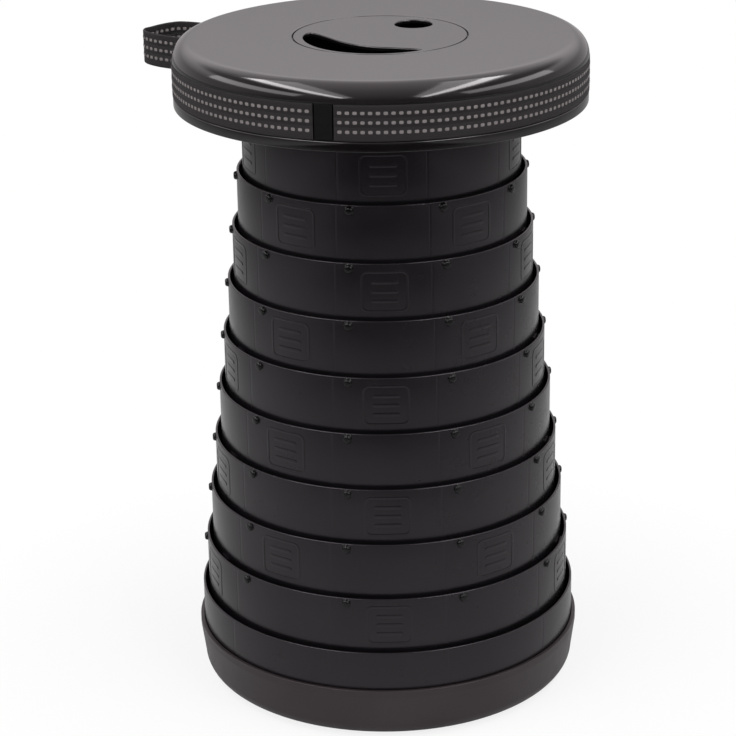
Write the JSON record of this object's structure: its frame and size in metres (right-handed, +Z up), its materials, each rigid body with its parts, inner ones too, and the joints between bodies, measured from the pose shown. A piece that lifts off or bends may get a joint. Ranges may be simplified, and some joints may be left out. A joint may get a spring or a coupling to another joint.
{
  "type": "telescopic stool",
  "caption": "Round-seated telescopic stool: nested plastic rings slide down into a base tray under a lid with finger slots and a webbing carrying strap.",
  "frame": {"origin": "on the floor under the middle of the tray, which is the stack's axis", "axes": "+Z up along the slides, -Y towards the front of the seat, +X to the right seen from the front"},
  "size_m": [0.2869, 0.2623, 0.4295],
  "materials": {
    "lid": "moulded, polished with a slight haze",
    "cap": "moulded, slightly duller than the lid",
    "ring": "moulded, satin",
    "tray": "moulded, satin, fine texture",
    "rubber": "moulded, matt",
    "webbing": "woven, with pale grey stitched dashes",
    "tape": "plain woven",
    "screw": "zinc-plated"
  },
  "bodies": {
    "base": {"base_tray": "tray", "ring_10": "ring", "foot_pad_centre": "rubber", "foot_pad_01": "rubber", "foot_pad_02": "rubber", "foot_pad_03": "rubber", "foot_pad_04": "rubber", "foot_pad_05": "rubber", "foot_pad_06": "rubber", "foot_pad_07": "rubber", "foot_pad_08": "rubber", "foot_pad_09": "rubber", "foot_pad_10": "rubber"},
    "ring_09_body": {"ring_09": "ring"},
    "ring_08_body": {"ring_08": "ring"},
    "ring_07_body": {"ring_07": "ring"},
    "ring_06_body": {"ring_06": "ring"},
    "ring_05_body": {"ring_05": "ring"},
    "ring_04_body": {"ring_04": "ring"},
    "ring_03_body": {"ring_03": "ring"},
    "ring_02_body": {"ring_02": "ring"},
    "ring_01_body": {"ring_01": "ring"},
    "seat": {"seat_lid": "lid", "seat_lid_skirt": "lid", "seat_centre_cap": "cap", "seat_collar": "ring", "collar_clamp_ring": "ring", "collar_screw_1": "screw", "collar_screw_2": "screw", "collar_screw_3": "screw", "collar_screw_4": "screw", "collar_screw_5": "screw", "strap_left": "webbing", "strap_right": "webbing", "strap_loop": "webbing", "strap_keeper": "tape"}
  },
  "joints": [
    {"name": "ring_09_slide", "type": "slide", "parent": "base", "child": "ring_09_body", "axis": [0, 0, 1], "range_m": [-0.0356, 0]},
    {"name": "ring_08_slide", "type": "slide", "parent": "ring_09_body", "child": "ring_08_body", "axis": [0, 0, 1], "range_m": [-0.0356, 0]},
    {"name": "ring_07_slide", "type": "slide", "parent": "ring_08_body", "child": "ring_07_body", "axis": [0, 0, 1], "range_m": [-0.0356, 0]},
    {"name": "ring_06_slide", "type": "slide", "parent": "ring_07_body", "child": "ring_06_body", "axis": [0, 0, 1], "range_m": [-0.0356, 0]},
    {"name": "ring_05_slide", "type": "slide", "parent": "ring_06_body", "child": "ring_05_body", "axis": [0, 0, 1], "range_m": [-0.0356, 0]},
    {"name": "ring_04_slide", "type": "slide", "parent": "ring_05_body", "child": "ring_04_body", "axis": [0, 0, 1], "range_m": [-0.0356, 0]},
    {"name": "ring_03_slide", "type": "slide", "parent": "ring_04_body", "child": "ring_03_body", "axis": [0, 0, 1], "range_m": [-0.0356, 0]},
    {"name": "ring_02_slide", "type": "slide", "parent": "ring_03_body", "child": "ring_02_body", "axis": [0, 0, 1], "range_m": [-0.0356, 0]},
    {"name": "ring_01_slide", "type": "slide", "parent": "ring_02_body", "child": "ring_01_body", "axis": [0, 0, 1], "range_m": [-0.0356, 0]},
    {"name": "seat_slide", "type": "slide", "parent": "ring_01_body", "child": "seat", "axis": [0, 0, 1], "range_m": [-0.033, 0]}
  ]
}
